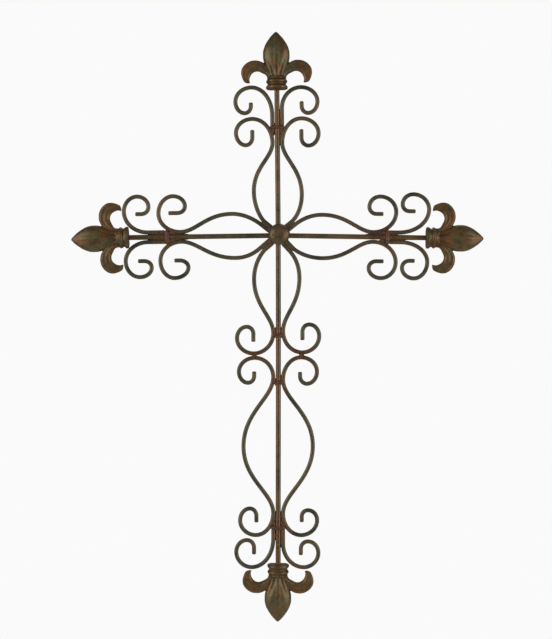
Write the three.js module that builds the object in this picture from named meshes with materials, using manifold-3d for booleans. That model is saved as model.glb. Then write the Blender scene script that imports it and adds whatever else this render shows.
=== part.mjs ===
// Wrought iron wall cross: round rods, scrolled wires, four cast fleur-de-lis finials and a domed stud.
// Millimetres. X runs to the right, Z up, and the front faces -Y. The wall is the plane y = 0 and the
// crossing of the rods lies in front of the origin.
import * as THREE from 'three';
import { mergeVertices } from 'three/addons/utils/BufferGeometryUtils.js';
import Module from 'manifold-3d';

const wasm = await Module();
wasm.setup();

// Bar stock
const rodDiameter = 6.35;
const wireDiameter = 5.2;
const gap = 0.3; // left between pieces that are welded or seated together
const rodRadius = rodDiameter / 2;
const wireRadius = wireDiameter / 2;
const beside = rodRadius + gap + wireRadius; // a wire's centreline when it lies against a rod

// Finial casting: a turned collar, a leaf-shaped lobe and two petals
const finialLength = 71.9;
const collarDiameter = 27.2;
const collarLength = 13.4;
const lobeWidth = 33.4;
const lobeThickness = 21;
const lobeWaist = 20.8;
const petalThickness = 12.8;
const hornThickness = 6.4;
const socketDepth = 6;
const backFlat = 4.6; // how deep the wall plane cuts into the collars
const axisDepth = collarDiameter / 2 - backFlat; // from the wall to the rods' axes

// Stud over the crossing
const studDiameter = 26.8;
const studHeight = 9;
const studShift = { x: 1.2, y: 1.2 }; // it was not set quite true

// Weld beads
const weldWidth = 6.5;
const weldCrown = 1.5; // how far a bead stands up over the front of a rod
const weldFloor = 0.6; // from the bars' axes forward to a bead's back, so that it stays in one piece
const weldOverhang = 1.2; // how far it reaches past the wires

// Each arm leaves the crossing at its own slightly bent heading, in degrees from +X towards +Z.
// finialAt is the distance from the crossing to the foot of the finial's collar.
const arms = {
  right: { heading: -0.9, finialAt: 185 },
  top: { heading: 90.5, finialAt: 182.8 },
  left: { heading: 180.8, finialAt: 186.9 },
  bottom: { heading: 270, finialAt: 410.7 },
};

// A curl leaves the rod over lead, swings out sideways by swing, then rolls up through an eye and a smaller
// core, both measured across and along the rod, and ends in a short straight tail.
// Side 1 is to the left of someone who looks outward along the arm.

// Scrolls spring from the crossing, swell to a belly and come back to the rod at touch. The two that share a
// quadrant start side by side, at an angle of spring degrees to the crossbar.
const scrolls = [
  { name: 'scroll_top_left', arm: 'top', side: 1, next: 'left', belly: [55.4, 29.9], touch: 115.7,
    curl: { lead: 30.2, swing: 24.9, eye: [20.6, 17.6], core: [20.4, 15.2], tail: 9.4 } },
  { name: 'scroll_top_right', arm: 'top', side: -1, next: 'right', belly: [51.5, 30], touch: 115.7,
    curl: { lead: 30.4, swing: 24, eye: [21.5, 18.8], core: [21.4, 15.3], tail: 10.9 } },
  { name: 'scroll_left_upper', arm: 'left', side: -1, next: 'top', spring: 39.7,
    belly: [57.7, 27.8], touch: 121.9,
    curl: { lead: 27.3, swing: 23.2, eye: [21.6, 18.4], core: [21.1, 14.8], tail: 11.6 } },
  { name: 'scroll_left_lower', arm: 'left', side: 1, next: 'bottom', spring: 40,
    belly: [53.5, 27.3], touch: 121.1,
    curl: { lead: 26.4, swing: 23.8, eye: [21.5, 17.5], core: [21.9, 17.4], tail: 6.7 } },
  { name: 'scroll_right_upper', arm: 'right', side: 1, next: 'top', spring: 40,
    belly: [55.4, 26.7], touch: 118.6,
    curl: { lead: 28.5, swing: 25.3, eye: [19.3, 20.1], core: [21.8, 13.5], tail: 9.2 } },
  { name: 'scroll_right_lower', arm: 'right', side: -1, next: 'bottom', spring: 46,
    belly: [55.3, 27.5], touch: 118.7,
    curl: { lead: 28.6, swing: 25.3, eye: [19.9, 18.6], core: [21, 15], tail: 9.2 } },
  { name: 'scroll_bottom_left', arm: 'bottom', side: -1, next: 'left', belly: [54.4, 30.1], touch: 121.8,
    curl: { lead: 25.6, swing: 24.5, eye: [20.8, 19.1], core: [20.4, 14.2], tail: 10 } },
  { name: 'scroll_bottom_right', arm: 'bottom', side: 1, next: 'right', belly: [53.4, 26.6], touch: 119.4,
    curl: { lead: 26.7, swing: 23.9, eye: [21.3, 20.5], core: [20.9, 14.4], tail: 10.7 } },
];
const forkDistance = 23; // from the crossing to where the two scrolls of a quadrant part

// Long scrolls belong to the bottom arm. They lie against its rod at both ends and curl away there.
const longScrolls = [
  { name: 'long_scroll_left', arm: 'bottom', side: -1, belly: [263.7, 43.3],
    upper: { touch: 177,
      curl: { lead: 24.1, swing: 23.1, eye: [19.8, 17.4], core: [19, 13.8], tail: 5.6 } },
    lower: { touch: 346.7,
      curl: { lead: 27.6, swing: 21.7, eye: [19.7, 18.3], core: [20.3, 14.9], tail: 8 } } },
  { name: 'long_scroll_right', arm: 'bottom', side: 1, belly: [262.8, 43.3],
    upper: { touch: 180.1,
      curl: { lead: 27.8, swing: 22.5, eye: [19.9, 17.7], core: [21.1, 15.3], tail: 5.3 } },
    lower: { touch: 347.8,
      curl: { lead: 26.6, swing: 22.5, eye: [20.1, 18.9], core: [19.2, 12.2], tail: 7.2 } } },
];

// Hooks start beside the outermost scroll, follow the rod to touch and curl away beside a finial.
const hooks = [
  { name: 'hook_top_left', arm: 'top', side: 1, touch: 150.1,
    curl: { lead: 35.1, swing: 25.7, eye: [20.2, 18], core: [19.3, 14.1], tail: 4.4 } },
  { name: 'hook_top_right', arm: 'top', side: -1, touch: 158.9,
    curl: { lead: 26.2, swing: 23.9, eye: [20.6, 18.2], core: [19.8, 14.1], tail: 5.8 } },
  { name: 'hook_left_upper', arm: 'left', side: -1, touch: 162.7,
    curl: { lead: 29.7, swing: 26.1, eye: [18.8, 16.8], core: [21.9, 14], tail: 7.8 } },
  { name: 'hook_left_lower', arm: 'left', side: 1, touch: 162.6,
    curl: { lead: 28.3, swing: 23.8, eye: [19.8, 17.9], core: [20, 14.5], tail: 7.9 } },
  { name: 'hook_right_upper', arm: 'right', side: 1, touch: 150.3,
    curl: { lead: 37.8, swing: 29.2, eye: [18.9, 19.8], core: [21.3, 13.3], tail: 8 } },
  { name: 'hook_right_lower', arm: 'right', side: -1, touch: 153.4,
    curl: { lead: 33.4, swing: 24.4, eye: [20.5, 16.9], core: [21.9, 14.6], tail: 6.7 } },
  { name: 'hook_bottom_left', arm: 'bottom', side: -1, touch: 379,
    curl: { lead: 35.4, swing: 26.8, eye: [19.4, 19.2], core: [22.1, 14.6], tail: 8.6 } },
  { name: 'hook_bottom_right', arm: 'bottom', side: 1, touch: 385,
    curl: { lead: 29.5, swing: 25.8, eye: [18.3, 18], core: [21.8, 14.2], tail: 8.1 } },
];

// Colour, roughness and metalness of each kind of piece
const finishes = {
  rod: { color: 0x50463a, roughness: 0.55, metalness: 0.5 },
  wire: { color: 0x3c3a30, roughness: 0.5, metalness: 0.5 },
  casting: { color: 0x5c583c, roughness: 0.5, metalness: 0.4 },
  stud: { color: 0x4e4630, roughness: 0.5, metalness: 0.4 },
  weld: { color: 0x5a3c26, roughness: 0.7, metalness: 0.3 },
};

const radians = THREE.MathUtils.degToRad;

// An arm's group has x outward along the rod, y to side 1 and z to the front, from the crossing's axes.
// Centrelines are lists of { x, y, heading } there. They are drawn for side 1 and mirrored for the other.

function straight(line, length) {
  const { x, y, heading } = line.at(-1);
  line.push({ x: x + length * Math.cos(heading), y: y + length * Math.sin(heading), heading });
}

// A bend from the line's end to a point where it runs along the rod. leave and arrive say how far the
// tangents at its ends reach.
function bend(line, [x, y], leave, arrive, steps) {
  const start = line.at(-1);
  const curve = new THREE.CubicBezierCurve(
    new THREE.Vector2(start.x, start.y),
    new THREE.Vector2(start.x + leave * Math.cos(start.heading), start.y + leave * Math.sin(start.heading)),
    new THREE.Vector2(x - arrive, y),
    new THREE.Vector2(x, y),
  );
  for (let i = 1; i <= steps; i++) {
    const at = curve.getPoint(i / steps);
    const along = curve.getTangent(i / steps);
    line.push({ x: at.x, y: at.y, heading: Math.atan2(along.y, along.x) });
  }
}

// A quarter of an ellipse that turns left, ahead by one half-axis and aside by the other.
function quarter(line, ahead, aside, steps) {
  const { x, y, heading } = line.at(-1);
  for (let i = 1; i <= steps; i++) {
    const angle = (i / steps) * Math.PI / 2;
    const forward = ahead * Math.sin(angle);
    const left = aside * (1 - Math.cos(angle));
    line.push({
      x: x + forward * Math.cos(heading) - left * Math.sin(heading),
      y: y + forward * Math.sin(heading) + left * Math.cos(heading),
      heading: heading + Math.atan2(aside * Math.sin(angle), ahead * Math.cos(angle)),
    });
  }
}

function curlUp(line, { lead, swing, eye, core, tail }) {
  quarter(line, lead, swing, 4);
  quarter(line, eye[0], eye[1], 4);
  quarter(line, core[1], 0.6 * core[0], 3);
  quarter(line, 0.4 * core[0], 0.62 * core[1], 2);
  straight(line, tail);
}

// From a belly back to the rod and into a curl.
function bellyToCurl(line, touch, curl) {
  const run = touch - line.at(-1).x;
  bend(line, [touch, beside], 0.5 * run, 0.3 * run, 5);
  curlUp(line, curl);
}

// The angle at which a scroll leaves the crossing, from its own arm.
function springAngle({ arm, next, spring }) {
  if (spring !== undefined) {
    return radians(spring);
  }
  const corner = radians(arms[next].heading - arms[arm].heading);
  const neighbour = scrolls.find((wire) => wire.arm === next && wire.next === arm);
  return Math.abs(Math.atan2(Math.sin(corner), Math.cos(corner))) - springAngle(neighbour);
}

function scrollLine(wire) {
  const angle = springAngle(wire);
  const apart = wireRadius + gap / 2; // from the line that the neighbour's wire also lies against
  const tighter = Math.min(angle, Math.PI / 2 - angle);
  const inner = (rodRadius + gap + (wireDiameter + gap) * Math.cos(tighter)) / Math.sin(tighter);
  const line = [{
    x: inner * Math.cos(angle) + apart * Math.sin(angle),
    y: inner * Math.sin(angle) - apart * Math.cos(angle),
    heading: angle,
  }];
  straight(line, Math.max(1, forkDistance - inner));
  bend(line, wire.belly, 8, 18, 3);
  bellyToCurl(line, wire.touch, wire.curl);
  return line;
}

function longScrollLine({ belly: [x, y], upper, lower }) {
  const outward = [{ x, y, heading: 0 }];
  bellyToCurl(outward, lower.touch, lower.curl);
  const inward = [{ x: -x, y, heading: 0 }];
  bellyToCurl(inward, -upper.touch, upper.curl);
  const turned = inward.slice(1).reverse().map((at) => ({ x: -at.x, y: at.y, heading: -at.heading }));
  return [...turned, ...outward];
}

// A hook can start where the scroll that leaves the rod there has swung clear of it.
function hookStart({ arm, side }) {
  const beginsIn = arm === 'bottom' ? longScrolls : scrolls;
  const scroll = beginsIn.find((wire) => wire.arm === arm && wire.side === side);
  const { touch, curl } = scroll.lower ?? scroll;
  const clear = 1.25 * wireDiameter + gap;
  return touch + curl.lead * Math.sin(Math.acos(1 - clear / curl.swing));
}

function hookLine(wire) {
  const line = [{ x: hookStart(wire), y: beside, heading: 0 }];
  straight(line, wire.touch - line[0].x);
  curlUp(line, wire.curl);
  return line;
}

// A centreline as a curve whose parameter runs evenly from one of its points to the next.
class Centreline extends THREE.Curve {
  constructor(line, side = 1) {
    super();
    this.points = line.map(({ x, y }) => new THREE.Vector3(x, side * y, 0));
    this.tangents = line.map(({ heading }) => (
      new THREE.Vector3(Math.cos(heading), side * Math.sin(heading), 0)));
  }

  at(list, t) {
    const place = t * (list.length - 1);
    const from = Math.min(Math.floor(place), list.length - 2);
    return list[from].clone().lerp(list[from + 1], place - from);
  }

  getPoint(t) {
    return this.at(this.points, t);
  }

  getTangent(t) {
    return this.at(this.tangents, t).normalize();
  }

  getUtoTmapping(u) {
    return u;
  }
}

function plain(geometry) {
  geometry.deleteAttribute('normal');
  geometry.deleteAttribute('uv');
  return mergeVertices(geometry, 1e-4);
}

// A round bar along a centreline. Its flats stand off by the radius, and two of them face front and back.
function bar(curve, radius, sides) {
  const corner = radius / Math.cos(Math.PI / sides);
  const section = new THREE.Shape(Array.from({ length: sides }, (_, s) => {
    const angle = (s + 0.5) * 2 * Math.PI / sides;
    return new THREE.Vector2(corner * Math.cos(angle), corner * Math.sin(angle));
  }));
  const steps = curve.points.length - 1;
  return plain(new THREE.ExtrudeGeometry(section, { steps, extrudePath: curve, bevelEnabled: false }));
}

// A body turned about +Y from [radius, height] points.
function turned(profile, sides) {
  const points = profile.map(([radius, height]) => new THREE.Vector2(radius, height));
  return plain(new THREE.LatheGeometry(points, sides));
}

function toSolid(geometry) {
  return new wasm.Manifold(new wasm.Mesh({
    numProp: 3,
    vertProperties: Float32Array.from(geometry.attributes.position.array),
    triVerts: Uint32Array.from(geometry.index.array),
  }));
}

function toGeometry(solid) {
  const { vertProperties, triVerts } = solid.getMesh();
  const geometry = new THREE.BufferGeometry();
  geometry.setAttribute('position', new THREE.BufferAttribute(Float32Array.from(vertProperties), 3));
  geometry.setIndex([...triVerts]);
  return geometry;
}

// A large box that holds everything behind z.
function behind(z) {
  const size = 2 * arms.bottom.finialAt;
  return toSolid(plain(new THREE.BoxGeometry(3 * size, 3 * size, size).translate(0, 0, z - size / 2)));
}

// The finial stands on y = 0 and points up, with x to the side and z to the front.

function collar() {
  const r = collarDiameter / 2;
  return toSolid(turned([
    [0, 0],
    [r, 0],
    [r, 0.46 * collarLength],
    [r - 2, 0.56 * collarLength],
    [r - 0.5, 0.64 * collarLength],
    [r - 0.5, 0.92 * collarLength],
    [r - 2.2, collarLength],
    [0, collarLength],
  ], 12));
}

// Half the lobe's width at a height: a narrow waist, a round shoulder and a long leaf point.
function lobeHalfWidth(height) {
  const shoulder = 0.6 * finialLength;
  if (height < shoulder) {
    const rise = THREE.MathUtils.smoothstep(height, collarLength + 3.6, shoulder - 3);
    return THREE.MathUtils.lerp(lobeWaist / 2, lobeWidth / 2, rise);
  }
  const left = (finialLength + 0.5 - height) / (finialLength - shoulder);
  return lobeWidth / 2 * Math.sin(left * Math.PI / 2) ** 0.88;
}

function lobe() {
  const foot = collarLength - 2;
  const shares = [0, 0.21, 0.38, 0.53, 0.7, 0.86, 1];
  const heights = shares.map((share) => foot + share * (finialLength - foot));
  const profile = heights.map((height) => [lobeHalfWidth(height), height]);
  const body = turned([[0, foot], ...profile, [0, finialLength]], 8);
  body.rotateY(Math.PI / 8);
  return toSolid(body.scale(1 / Math.cos(Math.PI / 8), 1, lobeThickness / lobeWidth));
}

// A side petal rises from the lobe's foot, rolls over outward and ends in a blunt horn. Its outer and inner
// edges follow two circles: the outer one tightens towards the horn and the inner one flares at the root.
function petal(side) {
  const outer = { x: 26.8, y: collarLength + 4.5, radius: 18.7 };
  const inner = { x: 24.2, y: collarLength - 0.3, radius: 9.2 };
  const stations = 6;
  const body = plain(new THREE.CylinderGeometry(1, 1, 1, 6, stations));
  const point = new THREE.Vector3();
  for (let i = 0; i < body.attributes.position.count; i++) {
    point.fromBufferAttribute(body.attributes.position, i);
    const share = point.y + 0.5;
    const angle = radians(THREE.MathUtils.lerp(-84, 118, share));
    const tighten = 2.4 * THREE.MathUtils.smoothstep(share, 0.7, 1);
    const flare = 3.2 * (1 - THREE.MathUtils.smoothstep(share, 0, 0.25));
    const rim = outer.radius - tighten;
    const hollow = inner.radius + 0.4 * tighten + flare;
    const edge = (1 + point.z) / 2; // 0 at the inner edge and 1 at the outer one
    const x = THREE.MathUtils.lerp(inner.x + hollow * Math.sin(angle), outer.x + rim * Math.sin(angle), edge);
    const y = THREE.MathUtils.lerp(inner.y + hollow * Math.cos(angle), outer.y + rim * Math.cos(angle), edge);
    const deep = THREE.MathUtils.lerp(petalThickness, hornThickness, share) / 2;
    body.attributes.position.setXYZ(i, side * x, y, side * deep * point.x);
  }
  return toSolid(body);
}

function finial() {
  const bore = (rodRadius + gap) / Math.cos(Math.PI / 12);
  const socket = toSolid(turned([[0, -1], [bore, -1], [bore, socketDepth], [0, socketDepth]], 12));
  const casting = collar().add(lobe()).add(petal(1)).add(petal(-1));
  return toGeometry(casting.subtract(socket).subtract(behind(-axisDepth)));
}

function stud() {
  const r = studDiameter / 2;
  return turned([
    [0, 0],
    [r, 0],
    [r, 0.24 * studHeight],
    [0.84 * r, 0.62 * studHeight],
    [0.48 * r, 0.92 * studHeight],
    [0, studHeight],
  ], 12);
}

// What is left of a bead in front of its floor and clear of the bars.
function cutByBars(bead, bars) {
  const front = toSolid(plain(bead)).subtract(behind(weldFloor));
  return bars.reduce((solid, tool) => solid.subtract(tool), front);
}

// A bead lies over the front of a rod and the wires beside it, and sinks into the grooves between them.
function weldBead(at, reach, bars) {
  const bead = new THREE.SphereGeometry(1, 8, 5);
  bead.scale(weldWidth / 2, reach, rodRadius + weldCrown - weldFloor);
  bead.translate(at, 0, weldFloor);
  return cutByBars(bead, bars);
}

// A drop of weld lies in front of the nip between two curls that roll up back to back.
function curlWeld(scroll, long, bars) {
  const crowns = [scroll.touch + scroll.curl.lead, long.upper.touch - long.upper.curl.lead];
  const swings = [scroll.curl.swing, long.upper.curl.swing];
  const drop = new THREE.IcosahedronGeometry(0.7 * wireDiameter);
  const y = scroll.side * (beside + (swings[0] + swings[1]) / 2);
  drop.translate((crowns[0] + crowns[1]) / 2, y, weldFloor);
  return cutByBars(drop, bars);
}

const cross = new THREE.Group();
const face = new THREE.Group(); // x to the right, y up and z to the front, from the crossing's axes
face.rotation.x = Math.PI / 2;
face.position.y = -axisDepth;
cross.add(face);

function addPiece(group, name, geometry, finish) {
  const mesh = new THREE.Mesh(geometry, new THREE.MeshStandardMaterial(finishes[finish]));
  mesh.name = name;
  group.add(mesh);
  return mesh;
}

const armGroups = {};
const armTools = {}; // each arm's bars with their clearance, which its welds are cut by
for (const [arm, { heading, finialAt }] of Object.entries(arms)) {
  armGroups[arm] = new THREE.Group();
  armGroups[arm].rotation.z = radians(heading);
  face.add(armGroups[arm]);
  const rod = new Centreline([{ x: 0, y: 0, heading: 0 }, { x: finialAt, y: 0, heading: 0 }]);
  armTools[arm] = [toSolid(bar(rod, rodRadius + gap, 12))];
}

// The crossbar is two halves welded to the upright, which runs from socket to socket with a slight bend.
function rodEnd(arm) {
  return arms[arm].finialAt + socketDepth - gap;
}

for (const arm of ['left', 'right']) {
  const start = rodRadius + gap;
  const half = new Centreline([{ x: start, y: 0, heading: 0 }, { x: rodEnd(arm), y: 0, heading: 0 }]);
  addPiece(armGroups[arm], `crossbar_${arm}`, bar(half, rodRadius, 12), 'rod');
}

const down = radians(arms.bottom.heading);
const up = radians(arms.top.heading);
const upright = new Centreline([
  { x: rodEnd('bottom') * Math.cos(down), y: rodEnd('bottom') * Math.sin(down), heading: down - Math.PI },
  { x: 0, y: 0, heading: (down - Math.PI + up) / 2 },
  { x: rodEnd('top') * Math.cos(up), y: rodEnd('top') * Math.sin(up), heading: up },
]);
addPiece(face, 'upright', bar(upright, rodRadius, 12), 'rod');

function addWire(wire, line) {
  const curve = new Centreline(line, wire.side);
  addPiece(armGroups[wire.arm], wire.name, bar(curve, wireRadius, 8), 'wire');
  armTools[wire.arm].push(toSolid(bar(curve, wireRadius + gap, 8)));
}

for (const wire of scrolls) {
  addWire(wire, scrollLine(wire));
}
for (const wire of longScrolls) {
  addWire(wire, longScrollLine(wire));
}
for (const wire of hooks) {
  addWire(wire, hookLine(wire));
}

const casting = finial();
for (const [arm, { finialAt }] of Object.entries(arms)) {
  const mesh = addPiece(armGroups[arm], `finial_${arm}`, casting.clone(), 'casting');
  mesh.position.x = finialAt;
  mesh.rotation.z = -Math.PI / 2;
}

const dome = addPiece(face, 'stud', stud(), 'stud');
dome.rotation.x = Math.PI / 2;
dome.position.set(studShift.x, studShift.y, rodRadius + gap);

// One bead holds the feet of each pair of hooks, and narrower ones hold the bottom arm's wires to its rod.
function addBead(name, arm, at, reach) {
  addPiece(armGroups[arm], name, toGeometry(weldBead(at, reach, armTools[arm])), 'weld');
}

for (const arm of Object.keys(arms)) {
  const feet = hooks.filter((wire) => wire.arm === arm).map(hookStart);
  addBead(`weld_${arm}`, arm, (feet[0] + feet[1]) / 2 - 1.5, beside + wireRadius + weldOverhang);
}
const [bottomLeft, bottomRight] = scrolls.filter((wire) => wire.arm === 'bottom');
const narrow = beside + 0.8 * wireRadius;
addBead('weld_bottom_scrolls', 'bottom', (bottomLeft.touch + bottomRight.touch) / 2 + 4.5, narrow);
addBead('weld_long_scrolls', 'bottom', longScrolls[0].upper.touch + 6.5, narrow);

for (const scroll of [bottomLeft, bottomRight]) {
  const long = longScrolls.find((wire) => wire.side === scroll.side);
  const name = scroll.side < 0 ? 'weld_curls_left' : 'weld_curls_right';
  addPiece(armGroups.bottom, name, toGeometry(curlWeld(scroll, long, armTools.bottom)), 'weld');
}

export default cross;
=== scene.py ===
"""Wrought iron wall cross: smooth bars and scrolled wires, cast finials, a domed stud and its welds.

Metres, +Z up. The front faces -Y and the wall is the plane y = 0.
"""

import math

import bmesh
import bpy
from mathutils import Matrix, Vector


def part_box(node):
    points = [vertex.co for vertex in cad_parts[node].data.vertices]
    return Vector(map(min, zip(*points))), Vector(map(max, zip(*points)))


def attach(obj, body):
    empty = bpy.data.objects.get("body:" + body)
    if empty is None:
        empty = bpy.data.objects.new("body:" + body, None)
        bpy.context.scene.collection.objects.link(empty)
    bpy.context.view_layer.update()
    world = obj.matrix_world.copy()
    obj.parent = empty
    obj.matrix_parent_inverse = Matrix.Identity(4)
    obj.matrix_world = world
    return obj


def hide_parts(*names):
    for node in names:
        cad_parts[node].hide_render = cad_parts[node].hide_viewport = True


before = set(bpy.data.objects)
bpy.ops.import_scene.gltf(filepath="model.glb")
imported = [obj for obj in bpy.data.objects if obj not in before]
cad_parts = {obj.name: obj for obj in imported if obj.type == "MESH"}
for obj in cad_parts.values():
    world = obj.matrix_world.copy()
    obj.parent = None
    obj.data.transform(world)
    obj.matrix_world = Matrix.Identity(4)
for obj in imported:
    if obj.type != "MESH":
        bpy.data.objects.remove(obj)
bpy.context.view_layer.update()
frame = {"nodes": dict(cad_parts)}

MM = 0.001

# The same sizes as the part's
AXIS_DEPTH = 9 * MM  # from the wall to the rods' axes
ROD_RADIUS = 6.35 / 2 * MM
WIRE_RADIUS = 5.2 / 2 * MM
GAP = 0.3 * MM
FORK_DISTANCE = 23 * MM
FINIAL_LENGTH = 71.9 * MM
COLLAR_RADIUS = 27.2 / 2 * MM
COLLAR_LENGTH = 13.4 * MM
LOBE_HALF_WIDTH = 33.4 / 2 * MM
LOBE_WAIST = 20.8 / 2 * MM  # half its width at the collar
LOBE_DEPTH = 21 / 33.4  # of its width
PETAL_DEPTH = 12.8 * MM
HORN_DEPTH = 6.4 * MM
SOCKET_DEPTH = 6 * MM
STUD_RADIUS = 26.8 / 2 * MM
STUD_HEIGHT = 9 * MM
STUD_CENTRE = Vector((1.2 * MM, 0, 1.2 * MM))

# For each arm its heading in degrees from +X towards +Z, where its finial's collar starts, and by how many
# degrees the finial leans
ARMS = {
    "right": (-0.9, 185 * MM, 0),
    "top": (90.5, 182.8 * MM, 0.5),
    "left": (180.8, 186.9 * MM, 1.3),
    "bottom": (270, 410.7 * MM, -0.5),
}

# Grooves between a rod and a wire that are filled with weld: the side of the arm, looking out along it, and
# where along the arm the run starts and ends, in mm
LEFT, RIGHT = 1, -1
WELD_RUNS = {
    "right": [(LEFT, 109, 131), (LEFT, 135, 150), (RIGHT, 135, 160)],
    "top": [(RIGHT, 112, 131), (RIGHT, 136, 158), (LEFT, 136, 141)],
    "left": [(LEFT, 112, 163), (RIGHT, 112, 163)],
    "bottom": [(LEFT, 114, 126), (RIGHT, 114, 126), (LEFT, 173, 186), (RIGHT, 178, 188),
               (LEFT, 344, 361), (RIGHT, 344, 361), (LEFT, 368, 390), (RIGHT, 368, 381)],
}
FORK_HEADINGS = (40, 140.5, 220.5, 314)  # along which two scrolls run out from the stud, until they part
SCROLL_START = 12 * MM  # from the crossing

# The middle leaf, with its ridge and flutes in degrees round from the middle of its front
LOBE_SHOULDER = 0.6 * FINIAL_LENGTH  # the height at which it is widest
RIDGE = ((14, 1.035), (8, 1.035), (3, 1.025))  # out to where, and how much deeper the leaf gets there
FLUTE_DEPTH = 1.1 * MM
FLUTE_TOP = 0.62 * FINIAL_LENGTH
FLUTE_START = 17
FLUTE_PARTING = 36  # how much further round a flute lies at its top
FLUTE_HALF_WIDTHS = (11, 6)

# A petal lies between two arcs: out from the finial's axis, up from the collar's end, and radius
PETAL_OUTER_ARC = (26.8 * MM, 4.5 * MM, 18.7 * MM)
PETAL_INNER_ARC = (24.2 * MM, -0.3 * MM, 9.2 * MM)
PETAL_START = -84  # degrees from straight up
PETAL_TURN = 202
PETAL_TIGHTENING = 2.4 * MM  # by how much the outer arc closes in at the horn
PETAL_FLARE = 3.2 * MM  # how much narrower the petal starts
PETAL_ROOT = -0.07  # the share of its way at which it starts, sunk in the collar

# The sawn ends of the bars
SAWN_SHARE = 0.7  # of a bar's radius, at its ends
SAWN_LENGTH = 0.4  # of a bar's radius, over which it tapers to them

# Welds
LUMP_SIZE = 2.2 * MM
BEAD_SWELL = 0.35 * MM
BEAD_CROWN = 0.86  # of its height once swollen, so that it is about as thick as the frame's
ROOT_WELD = (5.2 * MM, 2.4 * MM)  # half-width and half-depth, as in the next three
FORK_WELD = (1.5 * MM, 1.6 * MM)
GROOVE_WELD = (0.9 * MM, 1.5 * MM)
CORNER_WELD = (2.5 * MM, 2 * MM)
FORK_OVERLAP = 4 * MM  # how far the welds at a fork run on at both ends
FORK_FORWARD = 0.8 * MM  # in front of the bars' axes
GROOVE_FORWARD = 0.2 * MM
CORNER_ASIDE = 1.8 * MM  # from the side of the rod
CORNER_START = -11 * MM  # along the arm, from the middle of the bead
CORNER_END = 5 * MM

# Fineness of the meshes
SAME_POINT = 0.02 * MM
BAR_STEP = 4 * MM
SHORTEST_STEP = 0.3 * MM  # that a bar's curve is steered by
CASTING_VOXEL = 0.55 * MM
BEAD_VOXEL = 0.35 * MM

# Colours, each from dark to light
ROD_LACQUER = ("30281a", "4a3d26", "644828")
WIRE_LACQUER = ("2a281d", "413e2c", "5b472d")
CASTING_GREENS = ("38331c", "534b2c")
CASTING_BROWNS = ("472e14", "65421e")
STUD_GREENS = ("38341f", "524a2e")
STUD_BROWNS = ("42321c", "5a4328")
WELD_BROWNS = ("2a1d0f", "452c16", "624020")
RUST = ("2e1d10", "6b4424")
# Painted shade: the colour that the castings' creases are darkened towards
CREASE_SHADE = "36280f"

# How far rust reaches along the bars from a weld, or on the rods from a finial's collar too
ROD_RUST_REACH = 26 * MM
WIRE_RUST_REACH = 24 * MM
COLLAR_PLACE = 0.12  # of the way from a finial's middle to the crossing

# The photo's point of view
VIEW_X = -2.7 * MM
VIEW_Z = -105 * MM
VIEW_DISTANCE = 1.65  # to the rods' axes
SENSOR_WIDTH = 36  # in millimetres, as is the focal length
FOCAL_LENGTH = 74.4

LAMP_AIM = Vector((0, 0, -0.1))  # a point below the crossing, which the lamps face


# Selecting and editing

def only(piece):
    """Makes a piece the only one selected."""
    bpy.ops.object.select_all(action="DESELECT")
    piece.select_set(True)
    bpy.context.view_layer.objects.active = piece
    return piece


def edit(piece):
    only(piece)
    bpy.ops.object.mode_set(mode="EDIT")
    bpy.ops.mesh.select_all(action="SELECT")


def leave():
    bpy.ops.object.mode_set(mode="OBJECT")


def pick(piece, wanted):
    """In edit mode, selects the vertices that wanted() says yes to."""
    bpy.ops.mesh.select_mode(type="VERT")
    bpy.ops.mesh.select_all(action="DESELECT")
    leave()
    for vertex in piece.data.vertices:
        vertex.select = wanted(vertex)
    bpy.ops.object.mode_set(mode="EDIT")


def finish_modifier(piece, kind, **settings):
    """Adds a modifier and applies it."""
    modifier = piece.modifiers.new(kind.title(), kind)
    for name, value in settings.items():
        setattr(modifier, name, value)
    only(piece)
    bpy.ops.object.modifier_apply(modifier=modifier.name)


def roughen(piece, strength, grain):
    """Raises and sinks a piece's skin by noise with lumps of about grain metres."""
    texture = bpy.data.textures.new(piece.name + "_skin", "CLOUDS")
    texture.noise_scale = grain
    texture.noise_depth = 2
    finish_modifier(piece, "DISPLACE", texture=texture, texture_coords="LOCAL", strength=strength,
                    mid_level=0.5)


def smooth(piece, angle=60):
    """Shades a piece smoothly, but for edges sharper than the angle in degrees."""
    only(piece)
    bpy.ops.object.shade_smooth_by_angle(angle=math.radians(angle))


def copy_of(node, name):
    """A merged copy of a CAD node's mesh, to work on."""
    piece = node.copy()
    piece.data = node.data.copy()
    piece.data.materials.clear()
    piece.parent = None
    for key in list(piece.keys()):
        del piece[key]
    piece.name = name
    bpy.context.scene.collection.objects.link(piece)
    edit(piece)
    bpy.ops.mesh.remove_doubles(threshold=SAME_POINT)
    leave()
    return piece


def join(pieces, name):
    only(pieces[0])
    for piece in pieces:
        piece.select_set(True)
    bpy.ops.object.join()
    pieces[0].name = name
    return pieces[0]


# Bars and wires: a curve runs through the middles of the frame's faceted bar, and the round bar follows it

def middles(node):
    """The centre of each of a bar's rings of corners and the bar's direction there, from end to end."""
    shape = bmesh.new()
    shape.from_mesh(node.data)
    bmesh.ops.remove_doubles(shape, verts=shape.verts, dist=SAME_POINT)
    shape.verts.index_update()
    end_edges = [edge for edge in shape.edges if edge.calc_face_angle() > math.radians(60)]
    corners = set(end_edges[0].verts)
    while len(corners) < len(end_edges) / 2:
        corners |= {vertex for edge in end_edges if corners & set(edge.verts) for vertex in edge.verts}
    rows = []
    passed = set()
    while corners:
        # A set has no fixed order, and the order of a sum changes its last digit
        in_order = sorted(corners, key=lambda vertex: vertex.index)
        centre = sum((vertex.co for vertex in in_order), Vector()) / len(in_order)
        spokes = [vertex.co - centre for vertex in in_order]
        across = max((spokes[0].cross(spoke) for spoke in spokes), key=lambda normal: normal.length)
        rows.append((centre, across.normalized()))
        passed |= corners
        corners = {edge.other_vert(vertex) for vertex in corners for edge in vertex.link_edges} - passed
    shape.free()
    return rows


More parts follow.
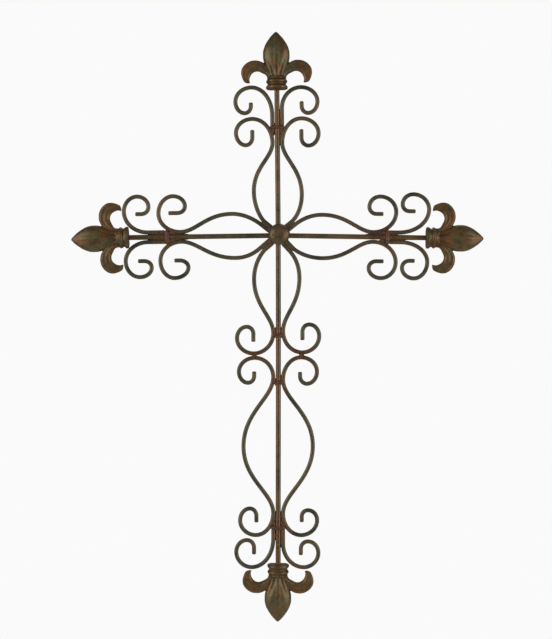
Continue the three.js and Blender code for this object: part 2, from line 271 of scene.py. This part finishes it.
def sawn(rows, radius):
    """Adds a row inside each end, where the taper starts, and gives every row its share of the radius."""
    (first, _), (second, _) = rows[:2]
    (last, _), (before_last, _) = rows[-1], rows[-2]
    start_axis = (second - first).normalized().project(rows[0][1]).normalized()
    end_axis = (last - before_last).normalized().project(rows[-1][1]).normalized()
    taper = SAWN_LENGTH * radius
    return [
        (first, start_axis, SAWN_SHARE),
        (first + taper * start_axis, start_axis, 1.0),
        *((centre, axis, 1.0) for centre, axis in rows[1:-1]),
        (last - taper * end_axis, end_axis, 1.0),
        (last, end_axis, SAWN_SHARE),
    ]


def round_bar(node, name, radius):
    """A round bar in place of a faceted one, its sawn ends eased."""
    rows = sawn(middles(node), radius)
    bpy.ops.object.select_all(action="DESELECT")
    bpy.ops.curve.primitive_bezier_curve_add(location=(0, 0, 0))
    piece = bpy.context.object
    piece.name = name
    line = piece.data.splines[0]
    line.bezier_points.add(len(rows) - 2)
    longest = 0
    for i, (point, (centre, axis, share)) in enumerate(zip(line.bezier_points, rows)):
        before = centre - rows[max(i - 1, 0)][0]
        after = rows[min(i + 1, len(rows) - 1)][0] - centre
        if axis.dot(before + after) < 0:
            axis = -axis
        point.handle_left_type = point.handle_right_type = "FREE"
        point.co = centre
        point.radius = share
        point.handle_left = centre - axis * max(before.length, SHORTEST_STEP) / 3
        point.handle_right = centre + axis * max(after.length, SHORTEST_STEP) / 3
        longest = max(longest, after.length)
    piece.data.dimensions = "3D"
    piece.data.resolution_u = max(6, math.ceil(longest / BAR_STEP))
    piece.data.bevel_depth = radius
    piece.data.bevel_resolution = 6
    piece.data.use_fill_caps = True
    only(piece)
    bpy.ops.object.convert(target="MESH")
    piece = bpy.context.object
    edit(piece)
    bpy.ops.mesh.remove_doubles(threshold=0.002 * MM)
    bpy.ops.mesh.normals_make_consistent(inside=False)
    leave()
    smooth(piece, 40)
    return piece


# Turned and swept shapes

def ring(name, sides, radius, squash=1.0, height=0.0):
    """An open ring around Z, squashed along Y, in edit mode with all of it selected."""
    bpy.ops.object.select_all(action="DESELECT")
    bpy.ops.mesh.primitive_circle_add(vertices=sides, radius=radius, fill_type="NOTHING",
                                      location=(0, 0, height))
    piece = bpy.context.object
    piece.name = name
    bpy.ops.object.transform_apply(location=True, rotation=True, scale=True)
    edit(piece)
    bpy.ops.transform.resize(value=(1, squash, 1), center_override=(0, 0, height))
    return piece


def turn_up(name, sides, profile, squash=1.0):
    """A solid of revolution around Z through (radius, height) rows, squashed along Y."""
    radius, height = profile[0]
    piece = ring(name, sides, radius, squash, height)
    bpy.ops.mesh.edge_face_add()
    for next_radius, next_height in profile[1:]:
        bpy.ops.mesh.extrude_region_move(
            TRANSFORM_OT_translate={"value": (0, 0, next_height - height)})
        share = next_radius / radius
        bpy.ops.transform.resize(value=(share, share, 1), center_override=(0, 0, next_height))
        radius, height = next_radius, next_height
    bpy.ops.mesh.select_all(action="SELECT")
    bpy.ops.mesh.normals_make_consistent(inside=False)
    leave()
    return piece


def lobe_half_width(height):
    """A narrow waist, a round shoulder and a long leaf point."""
    if height < LOBE_SHOULDER:
        low = COLLAR_LENGTH + 3.6 * MM
        rise = min(max((height - low) / (LOBE_SHOULDER - 3 * MM - low), 0), 1)
        return LOBE_WAIST + (LOBE_HALF_WIDTH - LOBE_WAIST) * rise * rise * (3 - 2 * rise)
    left = (FINIAL_LENGTH + 0.5 * MM - height) / (FINIAL_LENGTH - LOBE_SHOULDER)
    return LOBE_HALF_WIDTH * math.sin(left * math.pi / 2) ** 0.88


def collar():
    """A flat foot, a waist and a bead, from the rod up to the leaves."""
    r = COLLAR_RADIUS
    rows = [
        (r - 0.6 * MM, 0),
        (r, 0.5 * MM),
        (r, 2.9 * MM),
        (r - 0.9 * MM, 3.9 * MM),
        (r - 1.9 * MM, 5.0 * MM),
        (r - 2.2 * MM, 6.2 * MM),
        (r - 1.7 * MM, 7.2 * MM),
        (r - 0.6 * MM, 8.0 * MM),
        (r - 0.3 * MM, 9.2 * MM),
        (r - 0.5 * MM, 10.4 * MM),
        (r - 1.6 * MM, 11.5 * MM),
        (r - 2.8 * MM, 12.4 * MM),
        (r - 3.4 * MM, COLLAR_LENGTH + 1.6 * MM),
    ]
    return turn_up("collar", 64, rows)


def lobe():
    """The middle leaf: two flutes part as they climb from its foot, and a soft ridge runs to its point."""
    foot = COLLAR_LENGTH - 2 * MM
    rise = FINIAL_LENGTH - foot
    steps = 30
    heights = [foot + rise * math.sin(i / steps * math.pi / 2) for i in range(steps + 1)]
    piece = turn_up("lobe", 72, [(lobe_half_width(z), z) for z in heights], LOBE_DEPTH)
    edit(piece)

    def turn_of(vertex):
        """How far round from the middle of the front a vertex lies, in degrees."""
        return math.degrees(abs(math.atan2(vertex.co.x, -vertex.co.y / LOBE_DEPTH)))

    for reach, share in RIDGE:
        pick(piece, lambda vertex: turn_of(vertex) < reach)
        bpy.ops.transform.resize(value=(1, share, 1), center_override=(0, 0, 0))
    bands = 12
    for band in range(bands):
        climb = band / bands
        low = foot + (FLUTE_TOP - foot) * climb
        high = low + (FLUTE_TOP - foot) / bands
        middle = FLUTE_START + FLUTE_PARTING * climb
        depth = FLUTE_DEPTH * (1 - climb) ** 0.7
        for spread in FLUTE_HALF_WIDTHS:
            pick(piece, lambda vertex: low <= vertex.co.z < high and abs(turn_of(vertex) - middle) < spread)
            bpy.ops.transform.translate(value=(0, depth / 2, 0))
    leave()
    return piece


def petal_section(share):
    """Centre, half-width, half-depth and turn of a petal's section, from 0 at its root to 1 at its horn."""
    def ease(low, high):
        t = min(max((share - low) / (high - low), 0), 1)
        return t * t * (3 - 2 * t)

    def on_arc(out, up, radius):
        return Vector((out + radius * math.sin(angle), 0, COLLAR_LENGTH + up + radius * math.cos(angle)))

    angle = math.radians(PETAL_START + PETAL_TURN * share)
    tightening = PETAL_TIGHTENING * ease(0.7, 1)
    flare = PETAL_FLARE * (1 - ease(0, 0.25))
    out, up, radius = PETAL_OUTER_ARC
    outer = on_arc(out, up, radius - tightening)
    out, up, radius = PETAL_INNER_ARC
    inner = on_arc(out, up, radius + 0.4 * tightening + flare)
    across = outer - inner
    depth = (PETAL_DEPTH + (HORN_DEPTH - PETAL_DEPTH) * share) / 2
    return (outer + inner) / 2, across.length / 2, depth, math.atan2(across.x, across.z)


def petal(side):
    """A crescent that rolls over outward to a blunt horn, with a crease inside its outer rim."""
    steps = 20
    sides = 24
    centre, width, depth, turn = petal_section(PETAL_ROOT)
    piece = ring("petal", sides, 1.0)
    bpy.ops.transform.resize(value=(width, depth, 1), center_override=(0, 0, 0))

    def turn_of(vertex):
        """How far round from the middle of the front a corner lies, towards the outer rim."""
        return math.atan2(vertex.co.x / width, -vertex.co.y / depth)

    for step, share in ((-1, 0.05), (0, 0.18), (1, 0.24), (2, 0.1)):
        angle = step * 2 * math.pi / sides
        pick(piece, lambda vertex: abs(turn_of(vertex) - angle) < 0.05)
        bpy.ops.transform.translate(value=(0, depth * share, 0))
    bpy.ops.mesh.select_all(action="SELECT")
    bpy.ops.mesh.edge_face_add()
    leave()
    # The ring lies flat with its width along X, so it is stood up across the petal's path
    piece.data.transform(Matrix.Translation(centre) @ Matrix.Rotation(turn - math.pi / 2, 4, "Y"))
    edit(piece)
    for i in range(1, steps + 1):
        share = PETAL_ROOT + (1 - PETAL_ROOT) * i / steps
        next_centre, next_width, next_depth, next_turn = petal_section(share)
        bpy.ops.mesh.extrude_region_move(TRANSFORM_OT_translate={"value": next_centre - centre})
        bpy.ops.transform.rotate(value=-(next_turn - turn), orient_axis="Y", center_override=next_centre)
        scale = (next_width / width, next_depth / depth, next_width / width)
        bpy.ops.transform.resize(value=scale, center_override=next_centre)
        centre, width, depth, turn = next_centre, next_width, next_depth, next_turn
    onward = Vector((math.sin(turn + math.pi / 2), 0, math.cos(turn + math.pi / 2)))
    for advance, shrink in ((0.7 * MM, 0.8), (0.4 * MM, 0.55)):
        centre = centre + advance * onward
        bpy.ops.mesh.extrude_region_move(TRANSFORM_OT_translate={"value": advance * onward})
        bpy.ops.transform.resize(value=(shrink,) * 3, center_override=centre)
    bpy.ops.mesh.select_all(action="SELECT")
    if side < 0:
        bpy.ops.transform.mirror(constraint_axis=(True, False, False), center_override=(0, 0, 0))
    bpy.ops.mesh.normals_make_consistent(inside=False)
    leave()
    return piece


def fuse(piece, voxel, rounds):
    """Makes a piece one skin and softens its corners."""
    finish_modifier(piece, "REMESH", mode="VOXEL", voxel_size=voxel)
    finish_modifier(piece, "SMOOTH", factor=0.5, iterations=rounds)


def finial():
    """One casting that stands on z = 0 with its front towards -Y, cut flat where it meets the wall."""
    piece = join([collar(), lobe(), petal(1), petal(-1)], "finial")
    fuse(piece, CASTING_VOXEL, 3)
    roughen(piece, 0.35 * MM, 5 * MM)
    edit(piece)
    bpy.ops.mesh.bisect(plane_co=(0, AXIS_DEPTH, 0), plane_no=(0, 1, 0), use_fill=True, clear_outer=True,
                        threshold=0.001 * MM)
    leave()
    socket = turn_up("socket", 24, [(ROD_RADIUS + GAP / 2, -2 * MM), (ROD_RADIUS + GAP / 2, SOCKET_DEPTH)])
    finish_modifier(piece, "BOOLEAN", object=socket, operation="DIFFERENCE", solver="EXACT")
    bpy.data.objects.remove(socket)
    note_relief(piece)
    note_leaf(piece)
    return piece


def note_leaf(piece):
    """Keeps where the lacquer stays greenest: on the broad of the middle leaf."""
    leaf = piece.data.attributes.new("leaf", "FLOAT", "POINT")
    for vertex, value in zip(piece.data.vertices, leaf.data):
        up = (vertex.co.z - 20 * MM) / (18 * MM)
        inward = 4 * (1.15 - abs(vertex.co.x) / LOBE_HALF_WIDTH)
        value.value = min(max(up, 0), 1) * min(max(inward, 0), 1)


def note_relief(piece):
    """Keeps how hollow each point lies, so that the finish can paint shade into the creases."""
    only(piece)
    # How hollow each point lies steers the painted shade in the creases
    piece.data.color_attributes.new("hollow", "BYTE_COLOR", "CORNER")
    bpy.ops.paint.vertex_color_dirt(blur_strength=1.0, blur_iterations=4, clean_angle=math.pi,
                                    dirt_angle=0.6, normalize=True)


def set_on_arm(piece, arm):
    """Turns a finial that stands at the origin onto the end of an arm, leaning a little about its foot."""
    heading, start, lean = ARMS[arm]
    place = Matrix.Translation(on_arm(math.radians(heading), start))
    piece.data.transform(place @ Matrix.Rotation(math.radians(90 - heading - lean), 4, "Y"))


def stud():
    """A hand-hammered dome that lies on the front of the rods."""
    r = STUD_RADIUS
    h = STUD_HEIGHT
    rows = [(0.9 * r, 0), (r, 0.3 * MM), (r, 0.22 * h), (0.97 * r, 0.3 * h), (0.86 * r, 0.58 * h),
            (0.68 * r, 0.78 * h), (0.45 * r, 0.92 * h), (0.2 * r, 0.99 * h), (0.03 * r, h)]
    piece = turn_up("stud", 48, rows)
    fuse(piece, CASTING_VOXEL, 2)
    roughen(piece, 0.9 * MM, 7 * MM)
    # It stands on z = 0, so it is laid on the rods, facing the front
    front = -(AXIS_DEPTH + ROD_RADIUS + GAP)
    piece.data.transform(Matrix.Translation(STUD_CENTRE + Vector((0, front, 0)))
                         @ Matrix.Rotation(math.pi / 2, 4, "X"))
    return piece


def bead(node, name):
    """A weld from the frame, swollen until it touches the bars, and lumpy."""
    piece = copy_of(node, name)
    fuse(piece, BEAD_VOXEL, 2)
    finish_modifier(piece, "DISPLACE", strength=BEAD_SWELL, mid_level=0)
    roughen(piece, 0.5 * MM, LUMP_SIZE)
    edit(piece)
    bpy.ops.transform.resize(value=(1, BEAD_CROWN, 1), center_override=(0, -AXIS_DEPTH, 0))
    leave()
    smooth(piece)
    return piece


def on_arm(angle, distance, aside=0.0, forward=0.0):
    """A point out along a heading, to the left of it by aside and in front of the rods' axes by forward."""
    return Vector((distance * math.cos(angle) - aside * math.sin(angle), -(AXIS_DEPTH + forward),
                   distance * math.sin(angle) + aside * math.cos(angle)))


def weld_run(name, start, end, half_width, half_depth):
    """A lumpy run of weld from one point to another, in the plane of the cross."""
    along = end - start
    bpy.ops.object.select_all(action="DESELECT")
    bpy.ops.mesh.primitive_ico_sphere_add(subdivisions=4, radius=1, location=(0, 0, 0))
    piece = bpy.context.object
    piece.name = name
    edit(piece)
    bpy.ops.transform.resize(value=(along.length / 2, half_depth, half_width), center_override=(0, 0, 0))
    leave()
    piece.data.transform(Matrix.Translation((start + end) / 2)
                         @ Matrix.Rotation(-math.atan2(along.z, along.x), 4, "Y"))
    roughen(piece, 0.6 * MM, LUMP_SIZE)
    smooth(piece)
    return piece


def fork_runs():
    """Welds that hold the ends of two scrolls to the stud and to each other, up to where they part."""
    for count, heading in enumerate(FORK_HEADINGS):
        angle = math.radians(heading)
        root = on_arm(angle, SCROLL_START - FORK_OVERLAP)
        middle = on_arm(angle, SCROLL_START, 0, FORK_FORWARD)
        tip = on_arm(angle, FORK_DISTANCE + FORK_OVERLAP, 0, FORK_FORWARD)
        yield weld_run(f"root_weld_{count}", root, middle + (middle - root), *ROOT_WELD)
        yield weld_run(f"fork_weld_{count}", middle, tip, *FORK_WELD)


def groove_runs():
    """Welds in the grooves between the rods and the wires that lie along them."""
    for arm, runs in WELD_RUNS.items():
        angle = math.radians(ARMS[arm][0])
        for count, (side, first, last) in enumerate(runs):
            aside = side * (ROD_RADIUS + GAP / 2)
            start = on_arm(angle, first * MM, aside, GROOVE_FORWARD)
            end = on_arm(angle, last * MM, aside, GROOVE_FORWARD)
            yield weld_run(f"groove_weld_{arm}_{count}", start, end, *GROOVE_WELD)


def corner_runs():
    """Drops beside the beads on the arms, in the corners that a leaving scroll and a hook's foot make."""
    for arm in ARMS:
        angle = math.radians(ARMS[arm][0])
        middle = centre_of(f"weld_{arm}").dot(on_arm(angle, 1) - on_arm(angle, 0))
        for side in (LEFT, RIGHT):
            aside = side * (ROD_RADIUS + CORNER_ASIDE)
            start = on_arm(angle, middle + CORNER_START, aside)
            end = on_arm(angle, middle + CORNER_END, aside)
            yield weld_run(f"corner_weld_{arm}_{side}", start, end, *CORNER_WELD)


# Finishes

def colour(hex_code):
    """An sRGB colour as the linear RGBA that Blender's sockets take."""
    values = [int(hex_code[i:i + 2], 16) / 255 for i in (0, 2, 4)]
    return [v / 12.92 if v <= 0.04045 else ((v + 0.055) / 1.055) ** 2.4 for v in values] + [1]


class Finish:
    """A material whose nodes are added one after another."""

    def __init__(self, name):
        self.material = bpy.data.materials.new(name)
        self.material.use_nodes = True
        self.tree = self.material.node_tree
        self.shader = self.tree.nodes["Principled BSDF"]
        self.place = self.add("ShaderNodeTexCoord").outputs["Object"]

    def add(self, kind, **settings):
        node = self.tree.nodes.new(kind)
        for name, value in settings.items():
            setattr(node, name, value)
        return node

    def link(self, source, target):
        self.tree.links.new(source, target)

    def noise(self, size, detail=4, distortion=0.0):
        """Noise whose patches are about size metres across."""
        node = self.add("ShaderNodeTexNoise")
        self.link(self.place, node.inputs["Vector"])
        node.inputs["Scale"].default_value = 1 / size
        node.inputs["Detail"].default_value = detail
        node.inputs["Roughness"].default_value = 0.6
        node.inputs["Distortion"].default_value = distortion
        return node.outputs["Fac"]

    def ramp(self, source, stops):
        node = self.add("ShaderNodeValToRGB")
        self.link(source, node.inputs["Fac"])
        elements = node.color_ramp.elements
        while len(elements) < len(stops):
            elements.new(0.5)
        for element, (position, value) in zip(elements, stops):
            element.position = position
            element.color = colour(value) if isinstance(value, str) else (value, value, value, 1)
        return node.outputs["Color"]

    def mix(self, share, low, high):
        node = self.add("ShaderNodeMix", data_type="RGBA")
        self.link(share, node.inputs["Factor"])
        for socket, value in ((node.inputs[6], low), (node.inputs[7], high)):
            if isinstance(value, str):
                socket.default_value = colour(value)
            else:
                self.link(value, socket)
        return node.outputs[2]

    def attribute(self, name):
        return self.add("ShaderNodeAttribute", attribute_name=name).outputs["Fac"]

    def bumps(self, layers):
        """Bumps from (source, height in metres) rows."""
        normal = None
        for source, height in layers:
            node = self.add("ShaderNodeBump")
            node.inputs["Distance"].default_value = height
            self.link(source, node.inputs["Height"])
            if normal is not None:
                self.link(normal, node.inputs["Normal"])
            normal = node.outputs["Normal"]
        self.link(normal, self.shader.inputs["Normal"])

    def dress(self, base, roughness, metallic):
        self.link(base, self.shader.inputs["Base Color"])
        self.link(roughness, self.shader.inputs["Roughness"])
        self.shader.inputs["Metallic"].default_value = metallic
        return self.material


def bar_finish(name, dark, middle, brown):
    """Dark lacquer, worn to brown in patches, with rust near the welds."""
    finish = Finish(name)
    patches = finish.noise(26 * MM, detail=5, distortion=0.4)
    stains = finish.noise(60 * MM, detail=2)
    flecks = finish.noise(2.2 * MM, detail=3)
    grain = finish.noise(0.8 * MM, detail=2)
    base = finish.ramp(patches, [(0.32, dark), (0.5, middle), (0.72, brown)])
    base = finish.mix(finish.ramp(stains, [(0.5, 0.0), (0.64, 0.5)]), base, brown)
    base = finish.mix(finish.ramp(flecks, [(0.58, 0.0), (0.7, 0.4)]), base, brown)
    rusty = finish.mix(finish.ramp(flecks, [(0.35, 0.0), (0.62, 1.0)]), *RUST)
    base = finish.mix(finish.ramp(finish.attribute("rust"), [(0.1, 0.0), (0.85, 0.85)]), base, rusty)
    finish.bumps([(patches, 0.15 * MM), (grain, 0.05 * MM)])
    return finish.dress(base, finish.ramp(patches, [(0.35, 0.4), (0.7, 0.52)]), 0.5)


def casting_finish(name, greens, browns, shade_creases=True):
    """Lacquer that shades from green, mostly on the leaf, to brown, with painted shade darkening the
    creases.
    """
    finish = Finish(name)
    patches = finish.noise(20 * MM, detail=3, distortion=0.6)
    mottle = finish.noise(7 * MM, detail=3)
    grain = finish.noise(0.9 * MM, detail=3)
    green = finish.ramp(mottle, [(0.3, greens[0]), (0.7, greens[1])])
    brown = finish.ramp(mottle, [(0.3, browns[0]), (0.7, browns[1])])
    around = finish.ramp(patches, [(0.36, 0.0), (0.58, 1.0)])
    on_leaf = finish.ramp(patches, [(0.43, 0.0), (0.63, 1.0)])
    base = finish.mix(finish.mix(finish.attribute("leaf"), around, on_leaf), green, brown)
    if shade_creases:
        # Painted shade: the hollower a point lies, the darker it is painted
        hollow = finish.ramp(finish.attribute("hollow"), [(0.35, 1.0), (0.6, 0.0)])
        base = finish.mix(hollow, base, CREASE_SHADE)
    finish.bumps([(mottle, 0.15 * MM), (grain, 0.06 * MM)])
    return finish.dress(base, finish.ramp(mottle, [(0.3, 0.42), (0.7, 0.54)]), 0.55)


def weld_finish():
    """Rough rust brown."""
    dark, middle, light = WELD_BROWNS
    finish = Finish("weld_rust")
    lumps = finish.noise(3 * MM, detail=4)
    grain = finish.noise(0.7 * MM, detail=3)
    base = finish.ramp(lumps, [(0.35, dark), (0.5, middle), (0.68, light)])
    finish.bumps([(lumps, 0.25 * MM), (grain, 0.12 * MM)])
    return finish.dress(base, finish.ramp(grain, [(0.3, 0.5), (0.7, 0.75)]), 0.2)


def note_rust(piece, welds, reach):
    """Keeps how near each point lies to a weld, from 1 on it to 0 out of reach."""
    rust = piece.data.attributes.new("rust", "FLOAT", "POINT")
    for vertex, value in zip(piece.data.vertices, rust.data):
        nearest = min((vertex.co - weld).length for weld in welds)
        value.value = max(0.0, 1 - nearest / reach)


# Stage

def backdrop():
    """A world that the camera sees as nearly white and that lights the cross dimly."""
    scene = bpy.context.scene
    scene.view_settings.view_transform = "Standard"
    world = bpy.data.worlds.new("studio")
    world.use_nodes = True
    scene.world = world
    nodes = world.node_tree.nodes
    links = world.node_tree.links
    seen = nodes["Background"]
    seen.inputs["Color"].default_value = (0.955, 0.955, 0.955, 1)
    room = nodes.new("ShaderNodeBackground")
    room.inputs["Color"].default_value = (1.0, 0.97, 0.92, 1)
    room.inputs["Strength"].default_value = 0.2
    rays = nodes.new("ShaderNodeLightPath")
    choose = nodes.new("ShaderNodeMixShader")
    links.new(rays.outputs["Is Camera Ray"], choose.inputs[0])
    links.new(room.outputs[0], choose.inputs[1])
    links.new(seen.outputs[0], choose.inputs[2])
    links.new(choose.outputs[0], nodes["World Output"].inputs["Surface"])


def floor_disc():
    """A pale disc well below the cross."""
    bpy.ops.object.select_all(action="DESELECT")
    bpy.ops.mesh.primitive_circle_add(vertices=96, radius=1.2, fill_type="NGON", location=(0, 0, -0.9))
    floor = bpy.context.object
    floor.name = "floor"
    pale = Finish("pale_floor")
    tone = pale.ramp(pale.noise(0.3), [(0.3, "eeeeec"), (0.7, "f4f4f2")])
    floor.data.materials.append(pale.dress(tone, pale.ramp(pale.noise(0.1), [(0.3, 0.8), (0.7, 0.9)]), 0))
    pale.shader.inputs["Emission Color"].default_value = (1, 1, 1, 1)
    pale.shader.inputs["Emission Strength"].default_value = 0.12


def lamp(name, place, size, power):
    """A softbox that faces the cross."""
    bpy.ops.object.select_all(action="DESELECT")
    bpy.ops.object.light_add(type="AREA", location=place)
    light = bpy.context.object
    light.name = name
    light.data.shape = "RECTANGLE"
    light.data.size, light.data.size_y = size
    light.data.energy = power
    light.rotation_euler = (LAMP_AIM - Vector(place)).to_track_quat("-Z", "Y").to_euler()


def camera():
    bpy.ops.object.camera_add(location=(VIEW_X, -VIEW_DISTANCE - AXIS_DEPTH, VIEW_Z),
                              rotation=(math.pi / 2, 0, 0))
    view = bpy.context.object
    view.name = "camera"
    view.data.sensor_width = SENSOR_WIDTH
    view.data.lens = FOCAL_LENGTH
    bpy.context.scene.camera = view


# Putting it together

def hand_in(piece, slot, material, *nodes):
    """Gives a finished piece its material and its place on the part."""
    piece.data.materials.clear()
    piece.data.materials.append(material)
    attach(piece, "root")
    if nodes:
        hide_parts(*nodes)


def centre_of(node):
    low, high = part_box(node)
    return (low + high) / 2


camera()
backdrop()
floor_disc()
lamp("left_softbox", (-1.9, -1.0, 0.2), (0.6, 1.8), 40)
lamp("right_softbox", (1.9, -1.0, 0.0), (0.6, 1.8), 38)
lamp("front_softbox", (-0.5, -2.0, 1.0), (1.4, 1.2), 6)
lamp("rim", (0.2, 1.4, 1.6), (1.4, 0.8), 12)

nodes = frame["nodes"]
crossing = Vector((0, -AXIS_DEPTH, 0))
weld_centres = [centre_of(name) for name in nodes if name.startswith("weld_")] + [crossing]
finial_feet = [centre_of(f"finial_{arm}").lerp(crossing, COLLAR_PLACE) for arm in ARMS]

rod_finish = bar_finish("rod_lacquer", *ROD_LACQUER)
wire_finish = bar_finish("wire_lacquer", *WIRE_LACQUER)
iron_finish = casting_finish("casting_lacquer", CASTING_GREENS, CASTING_BROWNS)
stud_finish = casting_finish("stud_lacquer", STUD_GREENS, STUD_BROWNS, shade_creases=False)
rust_finish = weld_finish()

for name in nodes:
    if name in ("upright", "crossbar_left", "crossbar_right"):
        rod = round_bar(nodes[name], name + "_round", ROD_RADIUS)
        note_rust(rod, weld_centres + finial_feet, ROD_RUST_REACH)
        hand_in(rod, "rod", rod_finish, name)
    elif name.startswith(("scroll_", "long_scroll_", "hook_")):
        wire = round_bar(nodes[name], name + "_round", WIRE_RADIUS)
        note_rust(wire, weld_centres, WIRE_RUST_REACH)
        hand_in(wire, "wire", wire_finish, name)
    elif name.startswith("weld_"):
        hand_in(bead(nodes[name], name + "_bead"), "weld", rust_finish, name)

first = finial()
for arm in ARMS:
    casting = first.copy()
    casting.data = first.data.copy()
    casting.name = f"finial_{arm}_cast"
    bpy.context.scene.collection.objects.link(casting)
    set_on_arm(casting, arm)
    smooth(casting)
    hand_in(casting, "casting", iron_finish, f"finial_{arm}")
bpy.data.objects.remove(first)

dome = stud()
smooth(dome)
dome.name = "stud_dome"
hand_in(dome, "stud", stud_finish, "stud")

for run in (*fork_runs(), *groove_runs(), *corner_runs()):
    hand_in(run, "weld", rust_finish)
